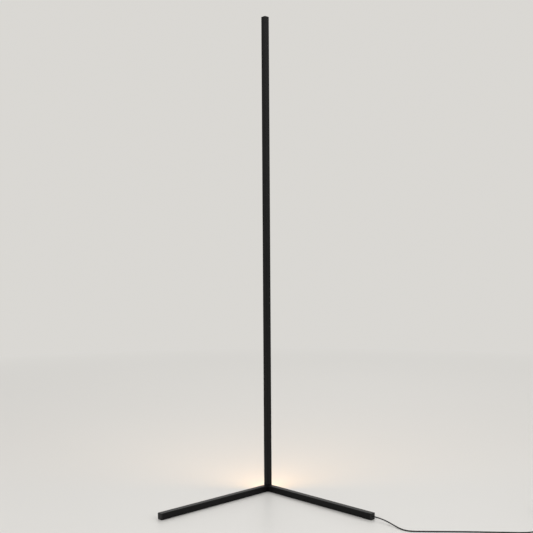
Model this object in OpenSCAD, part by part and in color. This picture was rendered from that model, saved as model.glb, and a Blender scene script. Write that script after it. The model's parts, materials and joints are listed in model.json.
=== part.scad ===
// Corner floor lamp: a slim square light column that stands on two legs set at right angles.
// Millimetres, +Z up. The origin is on the floor at the column's axis. The front is towards -Y,
// the legs run to the front left and the front right, and the light leaves to the rear, +Y.

/* [Overall] */
// Height of the lamp, feet and top cap included
lamp_h = 1400; // [900:10:1800]
// Reach of a leg, from the outer corner to the face of its end cap
leg_reach = 403; // [300:1:600]

/* [Square bars] */
// Width of the column and of the legs
bar_w = 17; // [16:0.25:20]
// Outer corner radius of the bars
bar_r = 2; // [1.5:0.25:2.5]

/* [Column extrusion] */
// Wall of the column extrusion
column_wall = 1.4; // [1.2:0.1:1.6]
// Width of the rear opening across the two cut edges
slot_w = 14; // [13:0.25:15]
// Rear face of the web that carries the light strip, measured from the column's axis
ledge_y = -1.8; // [-2.2:0.1:-1.4]
// Thickness of that web
web_t = 1.2; // [1:0.1:1.4]
// Distance of the three screw ports from the column's axis
port_off = 7.6; // [7.4:0.05:7.8]
// Bore radius of a screw port
port_r = 1.25; // [1.1:0.05:1.35]
// Wall round a screw port
port_wall = 1.1; // [0.9:0.1:1.2]
// Width of the slit along a screw port
port_slit = 1.2; // [0.8:0.1:1.6]

/* [Diffuser] */
// Wall of the diffuser
lens_t = 1.2; // [1:0.1:1.4]
// Height of the diffuser's crown above the cut edges
lens_rise = 2.6; // [2:0.1:2.8]
// Thickness of a snap leg
snap_t = 1.1; // [0.9:0.1:1.3]
// Depth of a snap leg inside the opening
snap_depth = 2.4; // [2:0.1:3]
// How far a snap hook stands out of its leg
snap_hook = 0.8; // [0.6:0.1:1]
// Gap left at each end of the diffuser
lens_end_gap = 0.2; // [0.1:0.1:0.5]

/* [Light strip] */
// Width of the strip's board
strip_w = 8; // [6:0.5:9]
// Thickness of the board with its adhesive
strip_t = 0.3; // [0.2:0.1:0.4]
// Length of one cut unit of the strip
strip_unit_l = 50; // [40:5:60]
// Lights in one cut unit
unit_chips = 3; // [2:1:3]
// Free length kept at each end of the strip
strip_margin = 12; // [8:1:24]
// Width, length and height of one light
chip_size = [2.8, 3.5, 0.8];
// Width, length and height of one resistor
resistor_size = [1.6, 3.2, 0.6];

/* [Top cap] */
// Thickness of the top cap
cap_t = 2; // [1.8:0.1:3]
// Length of the tongues that reach into the extrusion's front chamber
tongue_h = 12; // [8:1:16]

/* [Corner block] */
// Length of the spigot inside each leg
spigot_l = 36; // [30:1:44]
// Radius of the wire way
wire_way_r = 2.5; // [2.2:0.1:2.8]
// Depth of the plinth under the column
plinth_h = 2.5; // [2.2:0.1:3]

/* [Legs] */
// Wall of the leg tubes
leg_wall = 1.5; // [1.2:0.1:1.8]
// Thickness of an end cap's face
leg_cap_t = 3; // [2.5:0.25:4]
// Edge radius of an end cap's face
leg_cap_r = 1.2; // [0.8:0.1:1.4]
// Depth of an end cap's plug inside the tube
leg_plug_l = 10; // [8:1:14]
// Wall of that plug
leg_plug_wall = 1.6; // [1.2:0.1:2]
// Distance of the first leg screw from the corner block
leg_screw_first = 9; // [7:0.5:11]
// Distance between the two screws of a leg
leg_screw_step = 16; // [12:0.5:18]

/* [Feet] */
// Thickness of the rubber feet
foot_t = 1; // [0.8:0.1:2]
// Length of a leg's foot
foot_l = 26; // [16:1:40]
// Distance of a leg's foot from the end of its tube
foot_inset = 4; // [2:1:10]

/* [Screws] */
// Shank radius of the screws in the ports
port_screw_r = 1.2; // [1:0.05:1.2]
// Head radius of the screws in the ports
port_head_r = 2.5; // [2.2:0.1:2.6]
// Length of the column screws below the head
column_screw_l = 30; // [24:1:40]
// Length of the cap screws below the head
cap_screw_l = 10; // [8:1:14]
// Shank radius of the leg screws
leg_screw_r = 1.6; // [1.4:0.1:1.8]
// Length of the leg screws
leg_screw_l = 5; // [4.5:0.1:5.5]

/* [Fits] */
// Clearance of a sliding fit, on each side
fit_gap = 0.1; // [0.05:0.01:0.2]
// Clearance round a screw's shank
screw_gap = 0.15; // [0.1:0.05:0.25]

/* [Cord] */
// Diameter of the cord
cord_d = 3.2; // [2.8:0.1:3.4]
// Thickness of the grommet's lips
grommet_t = 1; // [0.8:0.1:1.4]
// Wall of the grommet round the cord
grommet_wall = 1.4; // [1.1:0.1:1.6]
// Radius of a single lead
lead_r = 0.7; // [0.5:0.05:0.75]

/* [Inline switch] */
// Length of the switch case
switch_l = 60; // [56:1:68]
// Width of the switch case
switch_w = 24; // [22:0.5:28]
// Height of the switch case at its crown
switch_h = 14; // [13.5:0.25:16]
// Height of the switch case at its ends
switch_end_h = 10.8; // [10.2:0.1:12]
// Corner radius of the switch case
switch_r = 8; // [5:0.5:8]
// How far the switch case's top falls from its middle line to its long sides
switch_fall = 1.2; // [0.8:0.1:1.8]
// Radius of the switch case's lower edges
switch_edge_r = 1.2; // [0.8:0.1:1.4]
// Wall of the switch case
switch_wall = 1.6; // [1.4:0.1:1.8]
// Radius of the push button
button_r = 6.5; // [5:0.25:7]
// Travel of the push button
button_travel = 1.8; // [1.2:0.1:2]
// Side and height of the latching switch unit
unit_size = [9, 6.4];

/* [Plug-in adapter] */
// Length of the adapter
adapter_l = 72; // [68:1:84]
// Width of the adapter
adapter_w = 40; // [38:1:48]
// Height of the adapter's case as it lies
adapter_h = 28; // [27:0.5:32]
// Wall of the adapter's shells
adapter_wall = 2; // [1.6:0.1:2.4]
// Corner radius of the adapter's shells
adapter_r = 6; // [4:0.5:8]
// Edge radius of the adapter's shells
adapter_edge_r = 2.5; // [1.5:0.25:3]
// Distance between the two pins
pin_step = 19; // [18:0.5:20]
// Radius of a pin
pin_r = 2; // [1.8:0.1:2.2]
// Free length of a pin
pin_l = 19; // [17:0.5:20]
// Length of the insulating sleeve on a pin
sleeve_l = 10; // [8:0.5:11]

/* [Hidden] */
$fn = 48;
over = 1;                                   // how far a cutter runs past a face
black = [0.06, 0.06, 0.065];
rubber = [0.1, 0.1, 0.1];
milky = [0.98, 0.93, 0.82];

// bars and their heights
half_w = bar_w / 2;
inner_r_min = 0.4;                          // least inner corner radius
cavity_w = bar_w - 2 * column_wall;
cavity_r = max(bar_r - column_wall, inner_r_min);
tube_in_w = bar_w - 2 * leg_wall;
tube_in_r = max(bar_r - leg_wall, inner_r_min);
leg_z = foot_t + half_w;                    // height of the legs' axes
block_top = foot_t + bar_w;
column_l = lamp_h - block_top - cap_t;
tube_l = leg_reach - bar_w - leg_cap_t;
diagonal = half_w * sqrt(2);                // from the axis to the column's sharp corner

// rear opening and diffuser, in the section's frame: X across, Y to the rear
slot_y = diagonal - slot_w / 2;
lens_r = (pow(slot_w / 2, 2) + pow(lens_rise, 2)) / (2 * lens_rise);
lens_cy = slot_y + lens_rise - lens_r;
mouth = cavity_w / sqrt(2) - slot_y;        // half width of the cavity at the cut edges
snap_out = mouth - 2 * fit_gap;
snap_in = snap_out - snap_t;

// light strip
units = floor((column_l - 2 * strip_margin) / strip_unit_l);
strip_l = units * strip_unit_l;
strip_z = block_top + (column_l - strip_l) / 2;
chip_step = strip_unit_l / unit_chips;

// screws
port_angles = [-90, 0, 180];
port_head_h = 1.6;
head_sink = 1.2;                            // depth of the column screws' heads in the corner block
head_pocket = port_head_h + head_sink;
cone_socket = 0.75;                         // a countersunk screw's socket, as a share of its shank
socket_deep = 0.8;
cone_h = 1.3;
cap_head_r = port_screw_r + cone_h;
leg_cone_h = leg_wall - fit_gap;
leg_head_r = leg_screw_r + 2 * screw_gap + leg_cone_h;
pilot_gap = screw_gap / 3;                  // room round a thread in its own hole
leg_screws_at = [leg_screw_first, leg_screw_first + leg_screw_step];

// grommet in the right leg's cap
cord_r = cord_d / 2;
grommet_r = cord_r + grommet_wall;
grommet_lip = 1;
lip_r = grommet_r + grommet_lip;
exit_d = leg_reach + grommet_t;             // the cord's exit, measured along the leg
exit_run = (exit_d - half_w) / sqrt(2);
cord_exit = [exit_run, -exit_run, leg_z];

// The cord's routes, in points chosen by hand.
cord_sides = 8;
coil_sides = 6;
ring_step = 9;
floor_z = cord_r;
switch_at = [722, -387];
switch_axis_z = 6.5;
relief_l = 12;
switch_end_x = switch_l / 2 + relief_l;
floor_route = [
    cord_exit,
    [287, -287, 9.5], [296, -295, 8.8], [305, -304, 7.6], [314, -315, 6.0], [322, -327, 4.4],
    [330, -340, 2.9], [338, -353, 2.0], [347, -364, floor_z], [357, -371, floor_z], [370, -374, floor_z],
    [390, -375, floor_z], [420, -376, floor_z], [460, -377, floor_z], [500, -378, floor_z],
    [540, -380, floor_z], [580, -382, floor_z], [615, -384, floor_z], [640, -385, 1.8], [656, -386, 3.2],
    [667, -387, 5.5], [674, -387, switch_axis_z],
    [switch_at[0] - switch_end_x, switch_at[1], switch_axis_z]
];

// coil: four layers, wound in and out, from the lowest at the outside to the highest at the outside
coil_at = [757, -330];
coil_out = 23.5;
coil_pitch = 3.8;
layer_turns = 2.5;
coil_layers = 4;
turn_rings = 24;
tie_t = 0.6;
tie_gap = 0.3;
coil_z = tie_t + tie_gap + cord_r;
coil_in = coil_out - layer_turns * coil_pitch;
coil_top = coil_z + (coil_layers - 1) * coil_pitch;
coil_steps = layer_turns * coil_layers * turn_rings;

inlet_route = [
    [switch_at[0] + switch_end_x, switch_at[1], switch_axis_z],
    [767, -387, switch_axis_z], [773, -386, 6.2], [778, -383.2, 5.5], [782, -379, 4.7], [784.2, -373.5, 3.9],
    [784.5, -367, 3.2], [783.5, -360, 2.7], [782.2, -353, coil_z], [781, -346, coil_z], [780.5, -340, coil_z],
    [coil_at[0] + coil_out, coil_at[1] - cord_d, coil_z]
];

// adapter, on its front face beyond the coil, pins up
adapter_at = [780.5, -248];
adapter_axis_z = adapter_h / 2;
adapter_relief_l = 14;
adapter_end_y = adapter_at[1] - adapter_l / 2 - adapter_relief_l;
adapter_route = [
    [coil_at[0] + coil_out, coil_at[1] + cord_d, coil_top], [780.5, -322, coil_top],
    [781, -315, 13.7], [781, -307, 13.8], [780.5, -302, adapter_axis_z],
    [adapter_at[0], adapter_end_y, adapter_axis_z]
];

// ---------------------------------------------------------------- shared shapes

function unit(v) = v / norm(v);
function last(list) = list[len(list) - 1];

// Point of a smooth curve through the route, t of the way from point i to the next.
function route_point(p, i, t) =
    let (a = p[max(i - 1, 0)], b = p[i], c = p[i + 1], d = p[min(i + 2, len(p) - 1)])
    0.5 * (2 * b + (c - a) * t + (2 * a - 5 * b + 4 * c - d) * t * t + (3 * b - a - 3 * c + d) * t * t * t);

// The curve's points at about one ring step, kept on the floor.
function smooth_route(p) = concat(
    [for (i = [0 : len(p) - 2])
        let (n = max(1, round(norm(p[i + 1] - p[i]) / ring_step)))
        for (k = [0 : n - 1]) let (q = route_point(p, i, k / n)) [q[0], q[1], max(q[2], floor_z)]],
    [last(p)]);

function tangent(p, i) = unit(p[min(i + 1, len(p) - 1)] - p[max(i - 1, 0)]);

function ring(centre, along, r, side_way, sides) =
    let (a = unit(cross(along, side_way)), b = cross(a, along))
    [for (k = [0 : sides - 1]) let (w = 360 * (k + 0.5) / sides) centre + r * (cos(w) * a + sin(w) * b)];

// Round tube along a path of points. side_way is any direction that the path never runs along.
module tube(path, r, sides, side_way = [0, 0, 1]) {
    n = len(path);
    rings = [for (i = [0 : n - 1]) each ring(path[i], tangent(path, i), r, side_way, sides)];
    walls = [for (i = [0 : n - 2], k = [0 : sides - 1])
        let (a = i * sides + k, b = i * sides + (k + 1) % sides)
        each [[a, b, a + sides], [b, b + sides, a + sides]]];
    near_end = [for (k = [1 : sides - 2]) [0, k + 1, k]];
    far_end = [for (k = [1 : sides - 2]) [(n - 1) * sides, (n - 1) * sides + k, (n - 1) * sides + k + 1]];
    polyhedron(concat(rings), concat(walls, near_end, far_end), convexity = 10);
}

// Rectangle with true arcs at its corners, centred.
module rounded_rect(size, r) {
    square([size[0] - 2 * r, size[1]], center = true);
    square([size[0], size[1] - 2 * r], center = true);
    for (x = [-1, 1], y = [-1, 1])
        translate([x * (size[0] / 2 - r), y * (size[1] / 2 - r)]) circle(r);
}

// Frame of the right leg: Z outwards from the outer corner, Y up. The left leg is its mirror image.
module on_right_leg(d = 0)
    rotate([0, 0, 45]) translate([0, half_w - d, leg_z]) rotate([90, 0, 0]) children();

module on_left_leg(d = 0)
    mirror([1, 0, 0]) on_right_leg(d) children();

// A side view in X and Z, extruded both ways along Y.
module along_y(reach)
    translate([0, reach, 0]) rotate([90, 0, 0]) linear_extrude(2 * reach) children();

// Block on z = 0 with upright corners of radius r, its top and bottom edges rounded all round.
module soft_block(size, r, edge) {
    along_y(size[1] / 2 - r) block_view(size[0], size[2], edge);
    rotate(90) along_y(size[0] / 2 - r) block_view(size[1], size[2], edge);
    for (x = [-1, 1], y = [-1, 1]) translate([x * (size[0] / 2 - r), y * (size[1] / 2 - r), 0])
        rotate_extrude() intersection() {
            block_view(2 * r, size[2], edge);
            square([2 * r, size[2]]);
        }
}

module block_view(width, height, edge)
    translate([0, height / 2]) rounded_rect([width, height], edge);

// Hole for a countersunk screw, head face at z = 0, shank towards +Z.
module countersunk(head_r, shank_r, cone, length) {
    cylinder(r1 = head_r, r2 = shank_r, h = cone);
    cylinder(r = shank_r, h = length);
}

// Screw for that hole, with a hexagonal socket.
module countersunk_screw(head_r, shank_r, cone, length)
    difference() {
        countersunk(head_r, shank_r, cone, length);
        socket(shank_r * cone_socket, socket_deep);
    }

// Screw with a flat head and a hexagonal socket, head face at z = 0, shank towards +Z.
module flat_screw(head_r, head_h, shank_r, length)
    difference() {
        union() {
            cylinder(r = head_r, h = head_h);
            cylinder(r = shank_r, h = head_h + length);
        }
        socket(head_r / 2, head_h / 2);
    }

module socket(r, deep)
    translate([0, 0, -over]) cylinder(r = r, h = over + deep, $fn = 6);

// ---------------------------------------------------------------- column

module bar_outline()
    rotate(45) rounded_rect([bar_w, bar_w], bar_r);

module rear_half(y, depth = bar_w)
    translate([-bar_w, y]) square([2 * bar_w, depth]);

module port_body(angle)
    rotate(angle) {
        reach = cavity_w / sqrt(2) - port_off + 2 * fit_gap;
        translate([port_off, 0]) circle(port_r + port_wall);
        polygon([[port_off, -reach], [port_off + reach, 0], [port_off, reach]]);
    }

module port_bore(angle)
    rotate(angle) {
        translate([port_off, 0]) circle(port_r);
        translate([port_off - port_r - port_wall - over, -port_slit / 2])
            square([port_r + port_wall + over, port_slit]);
    }

module column_section()
    difference() {
        union() {
            difference() {
                bar_outline();
                rotate(45) rounded_rect([cavity_w, cavity_w], cavity_r);
            }
            for (angle = port_angles) port_body(angle);
            intersection() {
                rotate(45) square(bar_w - column_wall, center = true);
                rear_half(ledge_y - web_t, web_t);
            }
        }
        rear_half(slot_y);
        for (angle = port_angles) port_bore(angle);
    }

module column_profile()
    color(black) translate([0, 0, block_top]) linear_extrude(column_l) column_section();

// The two snap legs: a hook's flank lies along the extrusion's inner wall.
module snap_legs() {
    tip = snap_out + snap_hook;
    right = [
        [snap_in, slot_y + over / 2], [snap_in, slot_y - snap_depth], [snap_out, slot_y - snap_depth],
        [tip, slot_y - snap_hook - snap_t / 2], [tip, slot_y - snap_hook],
        [snap_out, slot_y], [snap_out, slot_y + over]
    ];
    left = [for (i = [len(right) - 1 : -1 : 0]) [-right[i][0], right[i][1]]];
    polygon(concat(right, left));
}

// The crown and its two flanges, hollow between the snap legs.
module diffuser_section()
    difference() {
        union() {
            intersection() {
                translate([0, lens_cy]) circle(lens_r);
                rear_half(slot_y);
            }
            snap_legs();
        }
        intersection() {
            translate([0, lens_cy]) circle(lens_r - lens_t);
            translate([-snap_in, slot_y - over]) square([2 * snap_in, bar_w]);
        }
    }

module diffuser()
    color(milky) translate([0, 0, block_top + lens_end_gap])
        linear_extrude(column_l - 2 * lens_end_gap) diffuser_section();

// ---------------------------------------------------------------- light strip

module led_board()
    color("white") translate([-strip_w / 2, ledge_y, strip_z]) cube([strip_w, strip_t, strip_l]);

module on_strip(x, z, size)
    translate([x - size[0] / 2, ledge_y + strip_t, strip_z + z - size[1] / 2])
        cube([size[0], size[2], size[1]]);

module led_chips()
    color("gold") for (i = [0 : units * unit_chips - 1]) on_strip(0, (i + 0.5) * chip_step, chip_size);

module led_resistors()
    color("dimgray") for (i = [0 : units - 1])
        on_strip(strip_w / 4, (i * unit_chips + 1) * chip_step, resistor_size);

// ---------------------------------------------------------------- top cap

// Outline of the column with the diffuser in place.
module closed_outline()
    intersection() {
        bar_outline();
        union() {
            rear_half(slot_y - 2 * bar_w, 2 * bar_w);
            translate([0, lens_cy]) circle(lens_r);
        }
    }

// Tongue that fits the front chamber, between the web and the front screw port.
module tongue(length) {
    side_gap = 0.6;
    rear = ledge_y - web_t - fit_gap;
    front = port_r + port_wall - port_off + fit_gap;
    width = 2 * (cavity_w / sqrt(2) + front - side_gap);
    translate([-width / 2, front]) cube([width, rear - front, length]);
}

module at_cap_screws()
    for (side = [-1, 1]) translate([side * port_off, 0, lamp_h]) mirror([0, 0, 1]) children();

module top_cap()
    color(black) difference() {
        translate([0, 0, lamp_h - cap_t]) union() {
            linear_extrude(cap_t) closed_outline();
            translate([0, 0, -tongue_h]) tongue(tongue_h + over);
        }
        at_cap_screws() countersunk(cap_head_r + screw_gap, port_screw_r + screw_gap, cone_h, cap_t + over);
    }

module top_cap_screws()
    color("dimgray") at_cap_screws() countersunk_screw(cap_head_r, port_screw_r, cone_h, cap_screw_l);

// ---------------------------------------------------------------- corner block

// Bar along the right leg's direction, cut at the mitre plane between the two legs.
module mitred_bar()
    intersection() {
        on_right_leg() linear_extrude(bar_w) rounded_rect([bar_w, bar_w], bar_r);
        translate([0, -bar_w, 0]) cube([bar_w, 2 * bar_w, 2 * bar_w]);
    }

module at_port_screws()
    for (angle = port_angles) rotate(angle) translate([port_off, 0, foot_t]) children();

// One spigot with its wire way and its two blind screw holes.
module spigot() {
    width = tube_in_w - 2 * fit_gap;
    difference() {
        translate([0, 0, bar_w - over]) linear_extrude(spigot_l + over)
            rounded_rect([width, width], tube_in_r + fit_gap);
        for (d = leg_screws_at)
            translate([0, -half_w, bar_w + d]) rotate([-90, 0, 0])
                cylinder(r = leg_screw_r + pilot_gap, h = leg_screw_l + screw_gap);
    }
}

module corner_block()
    color([0.12, 0.12, 0.13]) difference() {
        union() {
            mitred_bar();
            mirror([1, 0, 0]) mitred_bar();
            translate([0, 0, block_top - plinth_h]) linear_extrude(plinth_h) bar_outline();
            translate([0, 0, block_top - over]) tongue(tongue_h + over);
            on_right_leg() spigot();
            on_left_leg() spigot();
        }
        // the rear vertical edge is round like the bars' edges
        rotate(45) translate([half_w - bar_r, half_w - bar_r, 0]) linear_extrude(block_top - plinth_h)
            difference() {
                square(bar_r + over);
                circle(bar_r);
            }
        // wire way: in along each leg, then up into the column
        on_right_leg(half_w) cylinder(r = wire_way_r, h = half_w + spigot_l + over);
        on_left_leg(half_w) cylinder(r = wire_way_r, h = half_w + spigot_l + over);
        translate([0, 0, leg_z]) cylinder(r = wire_way_r, h = half_w + tongue_h + 2 * over);
        at_port_screws() {
            translate([0, 0, -over]) cylinder(r = port_screw_r + screw_gap, h = bar_w + 2 * over);
            translate([0, 0, -over]) cylinder(r = port_head_r + screw_gap, h = head_pocket + over);
        }
    }

module column_screws()
    color("silver") at_port_screws() translate([0, 0, head_pocket - port_head_h])
        flat_screw(port_head_r, port_head_h, port_screw_r, column_screw_l);

// ---------------------------------------------------------------- legs

module at_leg_screws()
    for (d = leg_screws_at) translate([0, -half_w, d]) rotate([-90, 0, 0]) children();

module leg_tube()
    difference() {
        linear_extrude(tube_l) rounded_rect([bar_w, bar_w], bar_r);
        translate([0, 0, -over]) linear_extrude(tube_l + 2 * over)
            rounded_rect([tube_in_w, tube_in_w], tube_in_r);
        at_leg_screws()
            countersunk(leg_head_r + screw_gap, leg_screw_r + screw_gap, leg_cone_h, leg_wall + over);
    }

module leg_left() color(black) on_left_leg(bar_w) leg_tube();
module leg_right() color(black) on_right_leg(bar_w) leg_tube();

module leg_screw_pair()
    at_leg_screws() countersunk_screw(leg_head_r, leg_screw_r, leg_cone_h, leg_screw_l);

module leg_screws()
    color("dimgray") {
        on_left_leg(bar_w) leg_screw_pair();
        on_right_leg(bar_w) leg_screw_pair();
    }

// End cap: a face with rounded edges and a hollow plug, z = 0 at the tube's end.
module end_cap() {
    plug_w = tube_in_w - 2 * fit_gap;
    hollow_w = plug_w - 2 * leg_plug_wall;
    deep = 2 * leg_cap_t;
    intersection() {
        linear_extrude(leg_cap_t) rounded_rect([bar_w, bar_w], bar_r);
        along_y(bar_w) translate([0, leg_cap_t - deep / 2]) rounded_rect([bar_w, deep], leg_cap_r);
        rotate(90) along_y(bar_w) translate([0, leg_cap_t - deep / 2]) rounded_rect([bar_w, deep], leg_cap_r);
    }
    translate([0, 0, -leg_plug_l]) linear_extrude(leg_plug_l + over) difference() {
        rounded_rect([plug_w, plug_w], tube_in_r + fit_gap);
        square(hollow_w, center = true);
    }
}

module leg_left_cap() color(black) on_left_leg(leg_reach - leg_cap_t) end_cap();

module leg_right_cap()
    color(black) on_right_leg(leg_reach - leg_cap_t) difference() {
        end_cap();
        translate([0, 0, -over]) cylinder(r = grommet_r + fit_gap / 2, h = leg_cap_t + 2 * over);
    }

// ---------------------------------------------------------------- feet

module corner_foot()
    color(rubber) rotate(45) linear_extrude(foot_t)
        rounded_rect([bar_w - 2 * bar_r, bar_w - 2 * bar_r], bar_r);

module leg_foot()
    translate([0, -half_w, tube_l - foot_inset - foot_l / 2]) rotate([90, 0, 0]) linear_extrude(foot_t)
        rounded_rect([bar_w - 2 * bar_r, foot_l], bar_r);

module leg_left_foot() color(rubber) on_left_leg(bar_w) leg_foot();
module leg_right_foot() color(rubber) on_right_leg(bar_w) leg_foot();

// ---------------------------------------------------------------- wiring inside

module cord_grommet()
    color(rubber) on_right_leg(leg_reach - leg_cap_t - grommet_t) difference() {
        union() {
            cylinder(r = lip_r, h = grommet_t);
            cylinder(r = grommet_r, h = leg_cap_t + 2 * grommet_t);
            translate([0, 0, leg_cap_t + grommet_t])
                cylinder(r1 = lip_r, r2 = lip_r - grommet_t / 2, h = grommet_t);
        }
        translate([0, 0, -over])
            cylinder(r = cord_r + fit_gap / 2, h = leg_cap_t + 2 * grommet_t + 2 * over);
    }

// Cable tie on the cord behind the grommet, so that a pull on the cord stops there.
module cord_stop() {
    band = 2.5;
    head = 4;
    color("white") on_right_leg(leg_reach - leg_cap_t - grommet_t - band) difference() {
        union() {
            cylinder(r = grommet_r - fit_gap, h = band);
            translate([-head / 2, cord_r, 0]) cube([head, head / 2, band]);
        }
        translate([0, 0, -over]) cylinder(r = cord_r + fit_gap / 2, h = band + 2 * over);
    }
}

// The cord inside the right leg drops from the grommet to the tube's floor, and rises to the spigot.
// A pair is a distance from the cord's end, and how far down it lies there, as a share of the full drop.
inner_drop = [[0, 0], [12, 0], [22, 0.2], [38, 0.8], [50, 1]];
inner_floor = -(tube_in_w / 2 - cord_r - fit_gap);
inner_reach = 8;                            // how far the cord reaches into the spigot
inner_end = bar_w + spigot_l - inner_reach;

module inner_cord()
    color(black) on_right_leg() tube(concat(
        [for (at = inner_drop) [0, inner_floor * at[1], exit_d - at[0]]],
        [for (i = [len(inner_drop) - 1 : -1 : 0])
            [0, inner_floor * inner_drop[i][1], inner_end + inner_drop[i][0]]]
    ), cord_r, cord_sides, [1, 0, 0]);

// A lead from the inner cord's end, through the corner block, up to its pad on the light strip.
lead_gap = 0.05;
lead_bend = 4;
lead_side = lead_r + lead_gap;
lead_rise = 7;
pad_l = 4;
pad_x = 1.8;
pad_y = ledge_y + strip_t + lead_r;

function corner_point(x, d, z) = [(x - half_w + d) / sqrt(2), (x + half_w - d) / sqrt(2), z];

function lead_path(side) = concat(
    [corner_point(side * lead_side, inner_end, leg_z)],
    [for (a = [0 : 15 : 90])
        corner_point(side * lead_side, half_w + lead_bend * (1 - sin(a)), leg_z + lead_bend * (1 - cos(a)))],
    [corner_point(side * lead_side, half_w, block_top),
     [side * (pad_x + lead_side) / 2, pad_y / 2, block_top + lead_rise],
     [side * pad_x, pad_y, strip_z], [side * pad_x, pad_y, strip_z + pad_l]]);

module strip_lead(side)
    tube(lead_path(side), lead_r, coil_sides, unit([1, 1, 0]));

module strip_lead_positive() color("firebrick") strip_lead(1);
module strip_lead_negative() color([0.2, 0.2, 0.2]) strip_lead(-1);

// ---------------------------------------------------------------- cord

module floor_cord() color(black) tube(smooth_route(floor_route), cord_r, cord_sides);
module coil_inlet_cord() color(black) tube(smooth_route(inlet_route), cord_r, cord_sides);
module adapter_cord() color(black) tube(smooth_route(adapter_route), cord_r, cord_sides);

// Radius and height of the coil after some turns: the spiral turns back at the end of each layer,
// and climbs to the next one in the half turn there.
function coil_radius(turns) =
    let (layer = floor(turns / layer_turns), part = turns / layer_turns - layer)
    layer % 2 == 0 ? coil_out - part * (coil_out - coil_in) : coil_in + part * (coil_out - coil_in);

function ease(x) = let (u = min(max(x, 0), 1)) u * u * (3 - 2 * u);

function coil_height(turns) =
    let (climbs = [for (k = [1 : coil_layers - 1]) ease(2 * (turns - k * layer_turns) + 0.5)])
    coil_z + coil_pitch * (climbs * [for (c = climbs) 1]);

function coil_point(step) =
    let (turns = step / turn_rings, r = step < coil_steps ? coil_radius(turns) : coil_out)
    [coil_at[0] + r * cos(360 * turns), coil_at[1] + r * sin(360 * turns), coil_height(turns)];

coil_path = concat(
    [[coil_at[0] + coil_out, coil_at[1] - cord_d, coil_z]],
    [for (i = [0 : coil_steps]) coil_point(i)],
    [[coil_at[0] + coil_out, coil_at[1] + cord_d, coil_top]]);

// Least gap between the coil's turns, measured between points at least half a turn apart.
coil_gap = min([for (i = [1 : coil_steps - turn_rings / 2])
    min([for (j = [i + turn_rings / 2 : coil_steps]) norm(coil_path[i] - coil_path[j])])]) - cord_d;
echo(coil_least_gap = coil_gap);

module cord_coil() color(black) tube(coil_path, cord_r, coil_sides);

// Flat tie round the bundle of turns, on the side away from the cord's two ends.
module coil_tie() {
    width = 7;
    bundle = [coil_out - coil_in + cord_d + 2 * tie_gap, coil_top - coil_z + cord_d + 2 * tie_gap];
    middle = [(coil_out + coil_in) / 2, (coil_top + coil_z) / 2];
    color([0.15, 0.15, 0.15]) translate([coil_at[0] - middle[0], coil_at[1], middle[1]]) rotate([90, 0, 0])
        linear_extrude(width, center = true) difference() {
            union() {
                rounded_rect([bundle[0] + 2 * tie_t, bundle[1] + 2 * tie_t], 2 * tie_t);
                translate([-bundle[0] / 4, bundle[1] / 2]) square([bundle[0] / 2, 2 * tie_t]);
            }
            rounded_rect(bundle, tie_t);
        }
}

// ---------------------------------------------------------------- inline switch

function arc_r(half_width, rise) = (pow(half_width, 2) + pow(rise, 2)) / (2 * rise);

crown_r = arc_r(switch_l / 2, switch_h - switch_end_h);
cross_r = arc_r(switch_w / 2, switch_fall);
seam_h = 0.5;                               // groove round the joint line of two shells
seam_t = 0.4;
relief_r = 3;                               // neck of a strain relief, in the case's wall
relief_tip = 0.5;                           // its thickness at the tip
relief_lip = 1;
relief_lip_r = relief_r + relief_lip;
relief_lip_t = 1.4;
relief_shoulder = 0.4;
relief_grooves = 3;
relief_web = 0.25;                          // what a groove leaves round the cord
switch_screw_at = [[-19, 5], [19, -5]];
switch_screw_r = 0.8;
switch_screw_l = 5.6;
switch_head_r = 1.9;
switch_head_h = 1.3;
switch_pocket = 2.6;
switch_pilot_l = 3.2;
post_r = 2.6;
button_lip = 1;
button_lip_t = 0.9;
lip_play = 0.4;                             // room between the lip and the case's crown
lip_top = switch_h - switch_wall - pow(button_r + button_lip, 2) / (2 * cross_r) - lip_play;
button_z = lip_top - button_lip_t;          // underside of the button's lip
button_rise = 1.6;
stem_r = 1.4;
stem_gap = 0.2;
stem_in = 2;                                // how far the stem stands in the switch unit
stem_play = 0.4;
unit_top = switch_wall + unit_size[1];
wire_r = 0.6;
wire_y = 0.9;
wire_gap = 0.6;

module on_switch() translate([switch_at[0], switch_at[1], 0]) children();

module switch_outline(inset)
    rounded_rect([switch_l - 2 * inset, switch_w - 2 * inset], switch_r - inset);

// The case's form, drawn in by inset on every side. Its top is crowned both ways.
module switch_form(inset)
    intersection() {
        translate([0, 0, inset]) soft_block([switch_l - 2 * inset, switch_w - 2 * inset, 2 * switch_h],
            switch_r - inset, max(switch_edge_r - inset, inner_r_min));
        translate([0, 0, switch_h - crown_r]) rotate([90, 0, 0]) rotate_extrude($fn = 180) intersection() {
            translate([crown_r - cross_r, 0]) circle(cross_r - inset, $fn = 180);
            translate([0, -switch_w]) square([crown_r, 2 * switch_w]);
        }
    }

module switch_shell()
    difference() {
        switch_form(0);
        switch_form(switch_wall);
    }

module relief_ways()
    translate([-switch_l, 0, switch_axis_z]) rotate([0, 90, 0])
        cylinder(r = relief_r + fit_gap, h = 2 * switch_l);

module at_switch_screws()
    for (at = switch_screw_at) translate([at[0], at[1], 0]) children();

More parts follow.
